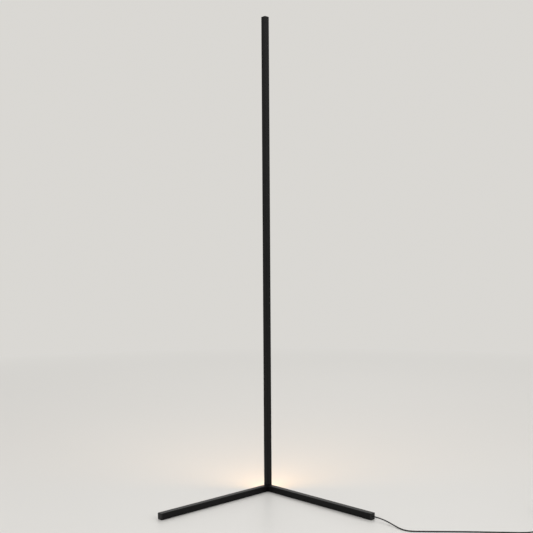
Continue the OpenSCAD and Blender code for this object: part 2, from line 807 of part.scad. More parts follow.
module switch_base() {
    rib_t = 1;
    rib_h = 3;
    color(black) on_switch() difference() {
        union() {
            intersection() {
                switch_shell();
                translate([-switch_l, -switch_w, 0]) cube([2 * switch_l, 2 * switch_w, switch_axis_z]);
            }
            at_switch_screws() cylinder(r = post_r, h = switch_axis_z);
            for (side = [-1, 1])
                translate([side * (unit_size[0] + rib_t + 2 * fit_gap) / 2, 0, switch_wall + rib_h / 2])
                    cube([rib_t, unit_size[0] / 2, rib_h + 2 * fit_gap], center = true);
        }
        relief_ways();
        at_switch_screws() {
            translate([0, 0, -over]) cylinder(r = switch_screw_r + screw_gap, h = switch_axis_z + 2 * over);
            translate([0, 0, -over]) cylinder(r = switch_head_r + screw_gap, h = switch_pocket + over);
        }
    }
}

module switch_cover()
    color(black) on_switch() difference() {
        union() {
            intersection() {
                switch_shell();
                translate([-switch_l, -switch_w, switch_axis_z]) cube([2 * switch_l, 2 * switch_w, switch_h]);
            }
            intersection() {
                switch_form(switch_wall / 2);
                at_switch_screws() translate([0, 0, switch_axis_z]) cylinder(r = post_r, h = switch_h);
            }
        }
        relief_ways();
        translate([0, 0, switch_axis_z]) linear_extrude(seam_h) difference() {
            switch_outline(-over);
            switch_outline(seam_t);
        }
        translate([0, 0, switch_axis_z]) cylinder(r = button_r + 2 * fit_gap, h = switch_h);
        at_switch_screws() translate([0, 0, switch_axis_z - over])
            cylinder(r = switch_screw_r + pilot_gap, h = switch_pilot_l + over);
    }

module switch_button() {
    crown = switch_h + button_rise - button_z;
    dome_r = 30;
    dish_r = 24;
    dish_deep = 0.6;
    color([0.16, 0.16, 0.17]) on_switch() translate([0, 0, button_z]) {
        difference() {
            intersection() {
                cylinder(r = button_r, h = crown);
                translate([0, 0, crown - dome_r]) sphere(dome_r);
            }
            translate([0, 0, crown - dish_deep + dish_r]) sphere(dish_r);
        }
        cylinder(r = button_r + button_lip, h = button_lip_t);
        translate([0, 0, unit_top - button_z - stem_in])
            cylinder(r = stem_r, h = button_z - unit_top + stem_in + button_lip_t);
    }
}

module switch_unit()
    color([0.3, 0.3, 0.32]) on_switch() difference() {
        translate([-unit_size[0] / 2, -unit_size[0] / 2, switch_wall])
            cube([unit_size[0], unit_size[0], unit_size[1]]);
        translate([0, 0, unit_top - stem_in - button_travel - stem_play])
            cylinder(r = stem_r + stem_gap, h = unit_size[1]);
    }

// One wire on each side of the unit, and one that passes beside it, through points chosen by hand.
module switch_wires() {
    from_x = switch_l / 2 - switch_wall - relief_lip_t;
    beside = unit_size[0] / 2 + wire_r + wire_gap;
    half_route = [
        [from_x, -wire_y, switch_axis_z], [from_x - 4, -wire_y, switch_axis_z],
        [from_x - 9, -2, switch_axis_z], [9, -beside, switch_axis_z], [5, -beside, switch_axis_z]
    ];
    route = concat([for (at = half_route) [-at[0], at[1], at[2]]],
        [for (i = [len(half_route) - 1 : -1 : 0]) half_route[i]]);
    color("firebrick") on_switch() {
        for (side = [0, 1]) mirror([side, 0, 0])
            translate([unit_size[0] / 2, wire_y, switch_axis_z]) rotate([0, 90, 0])
                cylinder(r = wire_r, h = from_x - unit_size[0] / 2);
        tube(route, wire_r, coil_sides);
    }
}

module switch_screws()
    color("silver") on_switch() at_switch_screws() translate([0, 0, switch_pocket - switch_head_h])
        flat_screw(switch_head_r, switch_head_h, switch_screw_r, switch_screw_l);

// Strain relief on a cord's end: a lip inside the wall, a neck through it and a grooved taper outside.
// It points along +Z, with the wall's outer face at z = 0. Two flats on the lip keep it from turning,
// half_flat from its axis along X.
module relief(wall, length, half_flat) {
    step = length / (relief_grooves + 1);
    inside = wall + relief_lip_t;
    translate([0, 0, -inside]) linear_extrude(relief_lip_t) intersection() {
        circle(relief_lip_r);
        square([2 * half_flat, 2 * relief_lip_r], center = true);
    }
    translate([0, 0, -inside]) cylinder(r = relief_r, h = inside + over / 2);
    difference() {
        cylinder(r1 = relief_r + relief_shoulder, r2 = cord_r + relief_tip, h = length);
        for (i = [1 : relief_grooves]) translate([0, 0, i * step - step / 2]) difference() {
            cylinder(r = relief_r + over, h = step / 3);
            cylinder(r = cord_r + relief_web, h = step / 3);
        }
    }
}

switch_flat = switch_end_h - switch_wall - switch_axis_z - fit_gap;

module switch_inlet_relief()
    color(rubber) on_switch() translate([-switch_l / 2, 0, switch_axis_z]) rotate([0, -90, 0])
        relief(switch_wall, relief_l, switch_flat);

module switch_outlet_relief()
    color(rubber) on_switch() translate([switch_l / 2, 0, switch_axis_z]) rotate([0, 90, 0])
        relief(switch_wall, relief_l, switch_flat);

// ---------------------------------------------------------------- plug-in adapter

split_rise = 5;
split_z = adapter_axis_z + split_rise;      // joint line of the two shells
lap = 1.5;
skirt_t = 1.2;
boss_size = [34, 16];
boss_h = 8;
boss_inset = 20;
boss_y = adapter_l / 2 - boss_inset;
pin_root = 5;
sleeve_inset = 0.1;                         // a sleeve is thinner than its pin's tip
sleeve_t = 0.5;
sleeve_root = 2;                            // how deep in the boss a sleeve starts
pin_neck_r = pin_r - sleeve_inset - sleeve_t;
contact_r = 1;
board_z = 7;
board_t = 1.6;
board_r = 2;
board_gap = [1, 3];
board_size = [adapter_w - 2 * (adapter_wall + board_gap[0]), adapter_l - 2 * (adapter_wall + board_gap[1])];
pillar_r = 2;
pillar_inset = 4;
pillar_at = [for (side = board_size) side / 2 - pillar_inset];
transformer_size = [18, 16, 11];
capacitor_at = [11, -16];
capacitor_r = 3.5;
capacitor_h = 9;
adapter_flat = split_z - lap - adapter_axis_z - fit_gap;

module on_adapter() translate([adapter_at[0], adapter_at[1], 0]) children();

module adapter_outline(inset)
    rounded_rect([adapter_w - 2 * inset, adapter_l - 2 * inset], adapter_r - inset);

module adapter_form()
    soft_block([adapter_w, adapter_l, adapter_h], adapter_r, adapter_edge_r);

module adapter_relief_way()
    translate([0, 0, adapter_axis_z]) rotate([90, 0, 0]) cylinder(r = relief_r + fit_gap, h = adapter_l);

module adapter_shell()
    color(black) on_adapter() difference() {
        union() {
            difference() {
                adapter_form();
                translate([0, 0, adapter_wall]) linear_extrude(split_z) adapter_outline(adapter_wall);
                translate([0, 0, split_z]) linear_extrude(adapter_h) adapter_outline(-over);
            }
            for (x = [-1, 1], y = [-1, 1])
                translate([x * pillar_at[0], y * pillar_at[1], adapter_wall / 2])
                    cylinder(r = pillar_r, h = board_z - adapter_wall / 2);
        }
        adapter_relief_way();
    }

module adapter_back() {
    skirt_in = adapter_wall + fit_gap;
    color(black) on_adapter() difference() {
        union() {
            difference() {
                union() {
                    difference() {
                        adapter_form();
                        translate([0, 0, -over]) linear_extrude(split_z + over) adapter_outline(-over);
                        translate([0, 0, split_z]) linear_extrude(seam_h) difference() {
                            adapter_outline(-over);
                            adapter_outline(seam_t);
                        }
                    }
                    translate([0, 0, split_z - lap]) linear_extrude(lap + over) adapter_outline(skirt_in);
                }
                translate([0, 0, split_z - lap - over])
                    linear_extrude(adapter_h - split_z + lap + over - adapter_wall)
                        adapter_outline(skirt_in + skirt_t);
            }
            translate([0, boss_y, adapter_h - adapter_wall]) linear_extrude(boss_h + adapter_wall)
                rounded_rect(boss_size, boss_size[1] / 3);
            at_pins() cylinder(r = pin_r - sleeve_inset, h = sleeve_l - fit_gap);
        }
        at_pins() {
            shoulder = fit_gap / 2 - sleeve_root;
            translate([0, 0, -boss_h - adapter_wall - over])
                cylinder(r = pin_r + fit_gap / 2, h = boss_h + adapter_wall + over + shoulder);
            translate([0, 0, shoulder - over]) cylinder(r = pin_neck_r + fit_gap / 2, h = pin_l);
        }
    }
}

// The pins' places, z = 0 on the boss's face.
module at_pins()
    for (side = [-1, 1]) translate([side * pin_step / 2, boss_y, adapter_h + boss_h]) children();

// A pin is drawn in where its sleeve covers it.
module adapter_pins()
    color("silver") on_adapter() at_pins() {
        translate([0, 0, -boss_h - pin_root]) cylinder(r = pin_r, h = boss_h + pin_root - sleeve_root);
        translate([0, 0, -sleeve_root - over]) cylinder(r = pin_neck_r, h = pin_l);
        translate([0, 0, sleeve_l]) cylinder(r = pin_r, h = pin_l - pin_r - sleeve_l);
        translate([0, 0, pin_l - pin_r]) sphere(pin_r);
    }

module adapter_board()
    color("darkgreen") on_adapter() translate([0, 0, board_z]) linear_extrude(board_t)
        rounded_rect(board_size, board_r);

// Transformer, two capacitors and the two contacts under the pins.
module adapter_parts() {
    top = board_z + board_t;
    color("goldenrod") on_adapter() {
        translate([-transformer_size[0] / 2, -transformer_size[1] / 4, top]) cube(transformer_size);
        for (side = [-1, 1]) {
            translate([side * capacitor_at[0], capacitor_at[1], top])
                cylinder(r = capacitor_r, h = capacitor_h);
            translate([side * pin_step / 2, boss_y, top])
                cylinder(r = contact_r, h = adapter_h - pin_root - top);
        }
    }
}

module adapter_relief()
    color(rubber) on_adapter() translate([0, -adapter_l / 2, adapter_axis_z])
        rotate([90, 0, 0]) rotate([0, 0, 90]) relief(adapter_wall, adapter_relief_l, adapter_flat);

// ---------------------------------------------------------------- the assembly

column_profile();
diffuser();
led_board();
led_chips();
led_resistors();
top_cap();
top_cap_screws();
corner_block();
column_screws();
leg_left();
leg_right();
leg_screws();
leg_left_cap();
leg_right_cap();
corner_foot();
leg_left_foot();
leg_right_foot();
cord_grommet();
cord_stop();
inner_cord();
strip_lead_positive();
strip_lead_negative();
floor_cord();
switch_base();
switch_cover();
switch_button();
switch_unit();
switch_wires();
switch_screws();
switch_inlet_relief();
switch_outlet_relief();
coil_inlet_cord();
cord_coil();
coil_tie();
adapter_cord();
adapter_relief();
adapter_shell();
adapter_back();
adapter_pins();
adapter_board();
adapter_parts();
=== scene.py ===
# Corner floor lamp: camera, light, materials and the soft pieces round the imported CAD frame.
# Metres, in the CAD's frame: the origin is on the floor at the column's axis, the front is towards -Y.
import json
import math

import bmesh
import bpy
from mathutils import Matrix, Vector

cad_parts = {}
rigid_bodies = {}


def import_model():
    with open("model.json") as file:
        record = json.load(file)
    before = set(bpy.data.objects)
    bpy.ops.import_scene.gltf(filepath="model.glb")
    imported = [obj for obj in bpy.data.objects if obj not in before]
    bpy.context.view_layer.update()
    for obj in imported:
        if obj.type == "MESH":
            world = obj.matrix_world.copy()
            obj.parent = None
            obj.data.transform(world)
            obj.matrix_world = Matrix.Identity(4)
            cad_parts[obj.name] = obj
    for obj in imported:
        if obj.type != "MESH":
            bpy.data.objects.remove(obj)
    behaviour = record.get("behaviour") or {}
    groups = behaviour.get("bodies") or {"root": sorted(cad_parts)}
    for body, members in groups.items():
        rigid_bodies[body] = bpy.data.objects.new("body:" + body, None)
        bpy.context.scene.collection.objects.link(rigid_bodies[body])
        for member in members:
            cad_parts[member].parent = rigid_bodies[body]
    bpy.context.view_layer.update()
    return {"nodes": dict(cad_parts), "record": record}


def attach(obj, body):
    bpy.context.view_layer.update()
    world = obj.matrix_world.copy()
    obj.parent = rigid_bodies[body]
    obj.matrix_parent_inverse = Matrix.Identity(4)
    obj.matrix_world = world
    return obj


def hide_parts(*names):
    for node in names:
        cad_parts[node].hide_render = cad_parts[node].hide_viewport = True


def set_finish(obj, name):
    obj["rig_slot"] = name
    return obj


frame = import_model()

nodes = frame["nodes"]
BODY = "lamp"
MM = 0.001

# ---------------------------------------------------------------- camera

CAMERA_AT = (0.0485, -2.4126, 0.6627)
CAMERA_YAW = math.radians(1.1575)
CAMERA_ROLL = math.radians(0.358)
FOCAL_PX = 816.4
PHOTO_PX = 533
SENSOR_MM = 36


def make_camera():
    data = bpy.data.cameras.new("camera")
    data.sensor_width = SENSOR_MM
    data.lens = FOCAL_PX / PHOTO_PX * SENSOR_MM
    camera = bpy.data.objects.new("camera", data)
    back = Vector((math.sin(CAMERA_YAW), -math.cos(CAMERA_YAW), 0))
    level = Vector((math.cos(CAMERA_YAW), math.sin(CAMERA_YAW), 0))
    upright = Vector((0, 0, 1))
    right = math.cos(CAMERA_ROLL) * level - math.sin(CAMERA_ROLL) * upright
    up = math.cos(CAMERA_ROLL) * upright + math.sin(CAMERA_ROLL) * level
    turn = Matrix((right, up, back)).transposed().to_4x4()
    camera.matrix_world = Matrix.Translation(CAMERA_AT) @ turn
    bpy.context.scene.collection.objects.link(camera)
    bpy.context.scene.camera = camera


make_camera()

# ---------------------------------------------------------------- sizes taken over from part.scad, in mm

FIT_GAP = 0.1
CORD_D = 3.2
CORD_R = CORD_D / 2
FLOOR_Z = CORD_R
LEG_Z = 9.5
BAR_HALF = 8.5
BLOCK_TOP = 18
EXIT_D = 404
EXIT_RUN = (EXIT_D - BAR_HALF) / math.sqrt(2)
CORD_EXIT = (EXIT_RUN, -EXIT_RUN, LEG_Z)
SWITCH_AT = (722, -387)
SWITCH_END_X = 42
SWITCH_Z = 6.5
STRIP_Z = 33
STRIP_UNIT = 50
UNIT_LIGHTS = 3
CHIP_STEP = STRIP_UNIT / UNIT_LIGHTS
COIL_AT = (757, -330)
COIL_OUT = 23.5
COIL_IN = 14
COIL_PITCH = 3.8
LAYER_TURNS = 2.5
COIL_LAYERS = 4
COIL_Z = 2.5
COIL_TOP = COIL_Z + (COIL_LAYERS - 1) * COIL_PITCH
CLIMB_TURNS = 0.5
ADAPTER_AT = (780.5, -248)
ADAPTER_Z = 14

# how finely the scene draws its own tubes: sides, rings in each turn of the coil, and steps in mm
CORD_SIDES = 20
WIRE_SIDES = 12
TURN_RINGS = 60
FINE_STEP = 2.5
INNER_STEP = 5
WIRE_STEP = 1

# the cord's routes, point by point as in part.scad
FLOOR_ROUTE = [
    CORD_EXIT,
    (287, -287, 9.5), (296, -295, 8.8), (305, -304, 7.6), (314, -315, 6.0), (322, -327, 4.4),
    (330, -340, 2.9), (338, -353, 2.0), (347, -364, FLOOR_Z), (357, -371, FLOOR_Z), (370, -374, FLOOR_Z),
    (390, -375, FLOOR_Z), (420, -376, FLOOR_Z), (460, -377, FLOOR_Z), (500, -378, FLOOR_Z),
    (540, -380, FLOOR_Z), (580, -382, FLOOR_Z), (615, -384, FLOOR_Z), (640, -385, 1.8), (656, -386, 3.2),
    (667, -387, 5.5), (674, -387, SWITCH_Z), (SWITCH_AT[0] - SWITCH_END_X, SWITCH_AT[1], SWITCH_Z),
]
INLET_ROUTE = [
    (SWITCH_AT[0] + SWITCH_END_X, SWITCH_AT[1], SWITCH_Z),
    (767, -387, SWITCH_Z), (773, -386, 6.2), (778, -383.2, 5.5), (782, -379, 4.7), (784.2, -373.5, 3.9),
    (784.5, -367, 3.2), (783.5, -360, 2.7), (782.2, -353, COIL_Z), (781, -346, COIL_Z), (780.5, -340, COIL_Z),
    (COIL_AT[0] + COIL_OUT, COIL_AT[1] - CORD_D, COIL_Z),
]
ADAPTER_ROUTE = [
    (COIL_AT[0] + COIL_OUT, COIL_AT[1] + CORD_D, COIL_TOP), (780.5, -322, COIL_TOP),
    (781, -315, 13.7), (781, -307, 13.8), (780.5, -302, ADAPTER_Z), (780.5, -298, ADAPTER_Z),
]

# ---------------------------------------------------------------- cord routes


def along(points, step):
    """Points of a smooth curve through the route, about a step apart and never below the floor."""
    found = []
    points = [Vector(p) for p in points]
    for i in range(len(points) - 1):
        a, b = points[max(i - 1, 0)], points[i]
        c, d = points[i + 1], points[min(i + 2, len(points) - 1)]
        bend, twist = 2 * a - 5 * b + 4 * c - d, 3 * b - a - 3 * c + d
        count = max(1, round((c - b).length / step))
        for k in range(count):
            t = k / count
            q = 0.5 * (2 * b + (c - a) * t + bend * t**2 + twist * t**3)
            q.z = max(q.z, FLOOR_Z)
            found.append(q)
    return found + [points[-1]]


def ease(x):
    u = min(max(x, 0), 1)
    return u * u * (3 - 2 * u)


def coil_points():
    """The coil's turns: the spiral turns back after each layer, and climbs to the next over half a turn."""
    found = []
    steps = round(LAYER_TURNS * COIL_LAYERS * TURN_RINGS)
    for step in range(steps + 1):
        turns = step / TURN_RINGS
        layer = min(int(turns / LAYER_TURNS), COIL_LAYERS - 1)
        part = turns / LAYER_TURNS - layer
        inward = part if layer % 2 == 0 else 1 - part
        r = COIL_OUT - inward * (COIL_OUT - COIL_IN)
        climb = sum(ease((turns - k * LAYER_TURNS) / CLIMB_TURNS + 0.5) for k in range(1, COIL_LAYERS))
        angle = 2 * math.pi * turns
        x, y = COIL_AT[0] + r * math.cos(angle), COIL_AT[1] + r * math.sin(angle)
        found.append(Vector((x, y, COIL_Z + COIL_PITCH * climb)))
    return found


def in_metres(points):
    return [Vector(p) * MM for p in points]


def piece(name, mesh):
    """The object made from a bmesh, which is then freed."""
    data = bpy.data.meshes.new(name)
    mesh.to_mesh(data)
    mesh.free()
    made = bpy.data.objects.new(name, data)
    bpy.context.scene.collection.objects.link(made)
    return made


def tube(name, paths, radius, sides=CORD_SIDES):
    """Closed round tubes along paths in metres, as one mesh. U runs round the tube, V along it in metres."""
    mesh = bmesh.new()
    uv = mesh.loops.layers.uv.new("along")
    for path in paths:
        normal = None
        rings = []
        for i, centre in enumerate(path):
            ahead = (path[min(i + 1, len(path) - 1)] - path[max(i - 1, 0)]).normalized()
            if normal is None:
                normal = ahead.orthogonal().normalized()
            normal = (normal - ahead * normal.dot(ahead)).normalized()
            other = ahead.cross(normal)
            ring = []
            for k in range(sides):
                w = 2 * math.pi * k / sides
                ring.append(mesh.verts.new(centre + radius * (math.cos(w) * normal + math.sin(w) * other)))
            rings.append(ring)
        run = 0
        for i in range(len(rings) - 1):
            longer = run + (path[i + 1] - path[i]).length
            for k in range(sides):
                j = (k + 1) % sides
                face = mesh.faces.new((rings[i][k], rings[i][j], rings[i + 1][j], rings[i + 1][k]))
                face.smooth = True
                corners = ((k, run), (k + 1, run), (k + 1, longer), (k, longer))
                for loop, (u, v) in zip(face.loops, corners):
                    loop[uv].uv = (u / sides, v)
            run = longer
        mesh.faces.new(list(reversed(rings[0])))
        mesh.faces.new(rings[-1])
    return piece(name, mesh)


def stands_for(made, slot, *replaced):
    """The piece rides on the lamp, takes its finish from the slot and hides the CAD nodes it stands for."""
    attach(made, BODY)
    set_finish(made, slot)
    if replaced:
        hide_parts(*replaced)
    return made


lead_path = in_metres(along(FLOOR_ROUTE, FINE_STEP))
tail_route = along(INLET_ROUTE, FINE_STEP)[:-1] + coil_points() + along(ADAPTER_ROUTE, FINE_STEP)
tail_path = in_metres(tail_route)

lead = tube("lead_cord", [lead_path], CORD_R * MM)
stands_for(lead, "cord_pvc", "floor_cord")
tail = tube("tail_cord", [tail_path], CORD_R * MM)
stands_for(tail, "cord_pvc", "coil_inlet_cord", "cord_coil", "adapter_cord")

# ---------------------------------------------------------------- wiring inside

TUBE_INNER = 14
INNER_FLOOR = -(TUBE_INNER / 2 - CORD_R - FIT_GAP)
# pairs of a distance from the cord's end, and how far down it lies there, as a share of the full drop
INNER_DROP = [(0, 0), (12, 0), (22, 0.2), (38, 0.8), (50, 1)]
INNER_END = 45
LEAD_R = 0.7
LEAD_GAP = 0.05
LEAD_SIDE = LEAD_R + LEAD_GAP
LEAD_BEND = 4
BEND_STEP = 15
QUARTER_TURN = 90
LEAD_FREE = 7
PAD_X = 1.8
PAD_Y = -0.8
PAD_L = 4
WIRE_R = 0.6
WIRE_Y = 0.9
JACKET_END_X = 27
UNIT_HALF_X = 4.5
# the wire that passes beside the unit, from the jacket's end to the switch's middle
PAST_UNIT = [(JACKET_END_X, -WIRE_Y), (23, -WIRE_Y), (18, -2), (9, -5.7), (5, -5.7), (0, -5.7)]


def on_right_leg(across, up, along_leg):
    """Point in the right leg's frame, measured from the outer corner."""
    run = along_leg - BAR_HALF
    return Vector(((across + run) / math.sqrt(2), (across - run) / math.sqrt(2), LEG_Z + up))


def inner_path():
    """The cord in the right leg: from the grommet down to the tube's floor, and up again to the spigot."""
    near = [on_right_leg(0, INNER_FLOOR * drop, EXIT_D - d) for d, drop in INNER_DROP]
    far = [on_right_leg(0, INNER_FLOOR * drop, INNER_END + d) for d, drop in reversed(INNER_DROP)]
    return in_metres(along(near + far, INNER_STEP))


def strip_lead_path(side):
    """A lead from the inner cord's end, through the corner block, up to its pad on the light strip."""
    across = side * LEAD_SIDE
    bend = []
    for degrees in range(0, QUARTER_TURN + 1, BEND_STEP):
        a = math.radians(degrees)
        up, out = LEAD_BEND * (1 - math.cos(a)), LEAD_BEND * (1 - math.sin(a))
        bend.append(on_right_leg(across, up, BAR_HALF + out))
    rise = on_right_leg(across, BLOCK_TOP - LEG_Z, BAR_HALF)
    half_way = Vector((side * (PAD_X + LEAD_SIDE) / 2, PAD_Y / 2, BLOCK_TOP + LEAD_FREE))
    pad = [Vector((side * PAD_X, PAD_Y, z)) for z in (STRIP_Z, STRIP_Z + PAD_L)]
    route = [on_right_leg(across, 0, INNER_END)] + bend + [rise, half_way] + pad
    return in_metres(along(route, WIRE_STEP))


def switch_wire_paths(side):
    """On one side of the switch: the wire to the unit, and half of the wire that passes beside it."""
    to_unit = [(x, WIRE_Y) for x in (UNIT_HALF_X, (UNIT_HALF_X + JACKET_END_X) / 2, JACKET_END_X)]
    middle = Vector((*SWITCH_AT, SWITCH_Z))
    routes = [[Vector((side * x, y, 0)) + middle for x, y in path] for path in (to_unit, PAST_UNIT)]
    return [in_metres(along(route, WIRE_STEP)) for route in routes]


stands_for(tube("leg_cord", [inner_path()], CORD_R * MM), "cord_pvc", "inner_cord")
for side, colour in ((1, "positive"), (-1, "negative")):
    slot = "lead_red" if side > 0 else "lead_black"
    wire = tube(f"strip_wire_{colour}", [strip_lead_path(side)], LEAD_R * MM, WIRE_SIDES)
    stands_for(wire, slot, f"strip_lead_{colour}")
for side, name in ((-1, "switch_wires_in"), (1, "switch_wires_out")):
    stands_for(tube(name, switch_wire_paths(side), WIRE_R * MM, WIRE_SIDES), "lead_red", "switch_wires")

# ---------------------------------------------------------------- coil tie

TIE_T = 0.6
TIE_GAP = 0.3
TIE_W = 7
TIE_EDGE = 0.15
TAIL_GAP = 0.05
TIP_LIFT = 0.35
# the strap's run round the bundle, in degrees from the side that faces the coil's middle
TIE_FROM = 28
TIE_TO = 488
TIE_STEP = 5
RISE_OVER = 25
TIP_OVER = 20
FULL_TURN = 360
# the strap's section, as (side, share of its thickness). Its edges are rounded, so it is widest half way up
HALF_WAY_UP = 0.5
TIE_SECTION = [(-1, 0), (1, 0), (1, HALF_WAY_UP), (1, 1), (-1, 1), (-1, HALF_WAY_UP)]
CREASE = math.radians(40)


def crossed_turns():
    """Centres of the turns under the tie's middle and under its two edges, as (x, z)."""
    points = coil_points()
    half_way = range(TURN_RINGS // 2, len(points), TURN_RINGS)
    spread = round(TURN_RINGS * math.asin(TIE_W / 2 / COIL_OUT) / (2 * math.pi))
    return [Vector((points[i + k].x, points[i + k].z)) for i in half_way for k in (-spread, 0, spread)]


def drawn_round(turns, degrees, out):
    """Point of a band drawn tight round the turns, where it faces that way, as (x, z)."""
    away = Vector((math.cos(math.radians(degrees)), math.sin(math.radians(degrees))))
    outermost = max(turns, key=lambda turn: turn.dot(away))
    return outermost + (CORD_R + TIE_GAP + out) * away


def strap(name):
    """A woven strap round the bundle of turns, its tail laid over its own start and its tip just lifted."""
    mesh = bmesh.new()
    uv = mesh.loops.layers.uv.new("along")
    turns = crossed_turns()
    across = [side * TIE_W / 2 for side, _ in TIE_SECTION]
    rows = []
    run = 0
    for degrees in range(TIE_FROM, TIE_TO + 1, TIE_STEP):
        out = (TIE_T + TAIL_GAP) * ease((degrees - TIE_FROM - FULL_TURN) / RISE_OVER + 1)
        out += TIP_LIFT * ease((degrees - TIE_TO) / TIP_OVER + 1)
        low = drawn_round(turns, degrees, out)
        high = drawn_round(turns, degrees, out + TIE_T)
        if rows:
            run += (low - rows[-1][2]).length
        row = []
        for side, share in TIE_SECTION:
            inset = 0 if share == HALF_WAY_UP else TIE_EDGE
            at = low.lerp(high, share)
            y = COIL_AT[1] + side * (TIE_W / 2 - inset)
            row.append(mesh.verts.new(Vector((at.x, y, at.y)) * MM))
        rows.append((row, run, low))
    for (row, v0, _), (ahead, v1, _) in zip(rows, rows[1:]):
        for k in range(len(row)):
            j = (k + 1) % len(row)
            face = mesh.faces.new((row[k], ahead[k], ahead[j], row[j]))
            face.smooth = True
            corners = ((across[k], v0), (across[k], v1), (across[j], v1), (across[j], v0))
            for loop, corner in zip(face.loops, corners):
                loop[uv].uv = (corner[0] * MM, corner[1] * MM)
    mesh.faces.new(rows[0][0])
    mesh.faces.new(list(reversed(rows[-1][0])))
    bmesh.ops.recalc_face_normals(mesh, faces=mesh.faces)
    made = piece(name, mesh)
    made.data.set_sharp_from_angle(angle=CREASE)
    return made


tie = stands_for(strap("coil_strap"), "strap_fabric", "coil_tie")

# ---------------------------------------------------------------- materials

# the Mix node's colour sockets, by number because each data type repeats their names
MIX_A = 6
MIX_B = 7
MIX_RESULT = 2
BEVEL_SAMPLES = 6
# the softened normal against the flat one, as their product: a full edge, and none
EDGE_PRODUCTS = (0.85, 0.995)


class Surface:
    """A material with one Principled shader, and short calls for the nodes that feed it."""

    def __init__(self, name, **sockets):
        self.material = bpy.data.materials.new(name)
        self.material.use_nodes = True
        self.tree = self.material.node_tree
        self.shader = self.tree.nodes["Principled BSDF"]
        for socket, value in sockets.items():
            self.shader.inputs[socket.replace("_", " ")].default_value = value
        self.place = self.add("ShaderNodeTexCoord").outputs["Object"]
        self.normal = None

    def add(self, kind, values=(), **settings):
        """A node. values are (socket, value or output) pairs."""
        made = self.tree.nodes.new(kind)
        for setting, value in settings.items():
            setattr(made, setting, value)
        for socket, value in values:
            if isinstance(value, bpy.types.NodeSocket):
                self.tree.links.new(value, made.inputs[socket])
            else:
                made.inputs[socket].default_value = value
        return made

    def maths(self, operation, *values):
        return self.add("ShaderNodeMath", list(enumerate(values)), operation=operation).outputs[0]

    def feed(self, socket, value):
        self.tree.links.new(value, self.shader.inputs[socket])

    def mapped(self, stretch=(1, 1, 1), turn=0):
        """The place in the frame, turned about Z and then stretched."""
        turned = self.add("ShaderNodeVectorRotate", [("Vector", self.place), ("Angle", math.radians(turn))])
        return self.add("ShaderNodeVectorMath", [(0, turned.outputs[0]), (1, stretch)],
                        operation="MULTIPLY").outputs[0]

    def noise(self, scale, stretch=(1, 1, 1), turn=0, detail=3, roughness=0.55):
        place = self.mapped(stretch, turn)
        values = [("Vector", place), ("Scale", scale), ("Detail", detail), ("Roughness", roughness)]
        return self.add("ShaderNodeTexNoise", values).outputs["Fac"]

    def cells(self, scale, feature="F1", stretch=(1, 1, 1)):
        values = [("Vector", self.mapped(stretch)), ("Scale", scale)]
        return self.add("ShaderNodeTexVoronoi", values, feature=feature).outputs["Distance"]

    def between(self, value, low, high, from_low=0.3, from_high=0.7):
        values = [("Value", value), ("From Min", from_low), ("From Max", from_high), ("To Min", low),
                  ("To Max", high)]
        return self.add("ShaderNodeMapRange", values).outputs[0]

    def blend(self, factor, a, b):
        """Colour from a, where the factor is 0, to b."""
        made = self.add("ShaderNodeMix", [("Factor", factor)], data_type="RGBA")
        for socket, value in ((MIX_A, a), (MIX_B, b)):
            if isinstance(value, bpy.types.NodeSocket):
                self.tree.links.new(value, made.inputs[socket])
            else:
                made.inputs[socket].default_value = (*value, 1)
        return made.outputs[MIX_RESULT]

    def soften(self, radius):
        """Rounds sharp edges by the shading normal. The mask is 1 on an edge and 0 on a face."""
        bevel = self.add("ShaderNodeBevel", [("Radius", radius)], samples=BEVEL_SAMPLES).outputs[0]
        flat = self.add("ShaderNodeNewGeometry").outputs["Normal"]
        same = self.add("ShaderNodeVectorMath", [(0, bevel), (1, flat)], operation="DOT_PRODUCT")
        self.normal = bevel
        return self.between(same.outputs["Value"], 1, 0, *EDGE_PRODUCTS)

    def bump(self, height, strength, distance):
        values = [("Height", height), ("Strength", strength), ("Distance", distance)]
        if self.normal is not None:
            values.append(("Normal", self.normal))
        self.normal = self.add("ShaderNodeBump", values).outputs[0]

    def done(self):
        if self.normal is not None:
            self.feed("Normal", self.normal)
        return self.material


# noise that breaks up the lighter edges, which are painted partly as wear and partly as a highlight
WEAR_AND_HIGHLIGHT_SCALE = 400
WEAR_AND_HIGHLIGHT_SHARES = (0.25, 0.9)
GLOSS_FINER = 4


def finish_of(name, dark, light, rough, mottle, grain, edge, edge_r, **sockets):
    """A hard or rubbery surface: two close tones in soft patches, uneven gloss, edges painted lighter as wear
    and as a painted highlight, and a fine grain.

    rough has the least and the greatest roughness, and mottle is the scale of the patches. grain has
    (scale, stretch, turn, strength, depth) for each layer of bump. edge is the lighter colour painted into
    the edges, partly wear and partly a painted highlight, or None, and edge_r is their radius.
    """
    s = Surface(name, **sockets)
    patches = s.noise(mottle, detail=4)
    colour = s.blend(s.between(patches, 0, 1), dark, light)
    edge_wear_and_highlight = s.soften(edge_r)
    # painted highlight and wear: the edges are blended towards a lighter colour, broken up by noise
    if edge:
        broken = s.maths("MULTIPLY", edge_wear_and_highlight, s.between(s.noise(WEAR_AND_HIGHLIGHT_SCALE), *WEAR_AND_HIGHLIGHT_SHARES))
        colour = s.blend(broken, colour, edge)
    s.feed("Base Color", colour)
    s.feed("Roughness", s.between(s.noise(mottle * GLOSS_FINER), *rough))
    for scale, stretch, turn, strength, depth in grain:
        s.bump(s.noise(scale, stretch, turn), strength, depth)
    return s.done()


ROUND_GRAIN = (1, 1, 1)
LINES_Z = (1, 1, 0.004)
LINES_Y = (1, 0.01, 1)
PIN_LINES = (1, 1, 0.02)
BLACK = (0.0042, 0.0042, 0.0044)
BLACK_LIGHT = (0.0057, 0.0056, 0.0055)
# the lighter grey painted into the black finishes' edges: partly wear, partly a painted highlight
EDGE_WEAR_AND_HIGHLIGHT_GREY = (0.022, 0.021, 0.020)

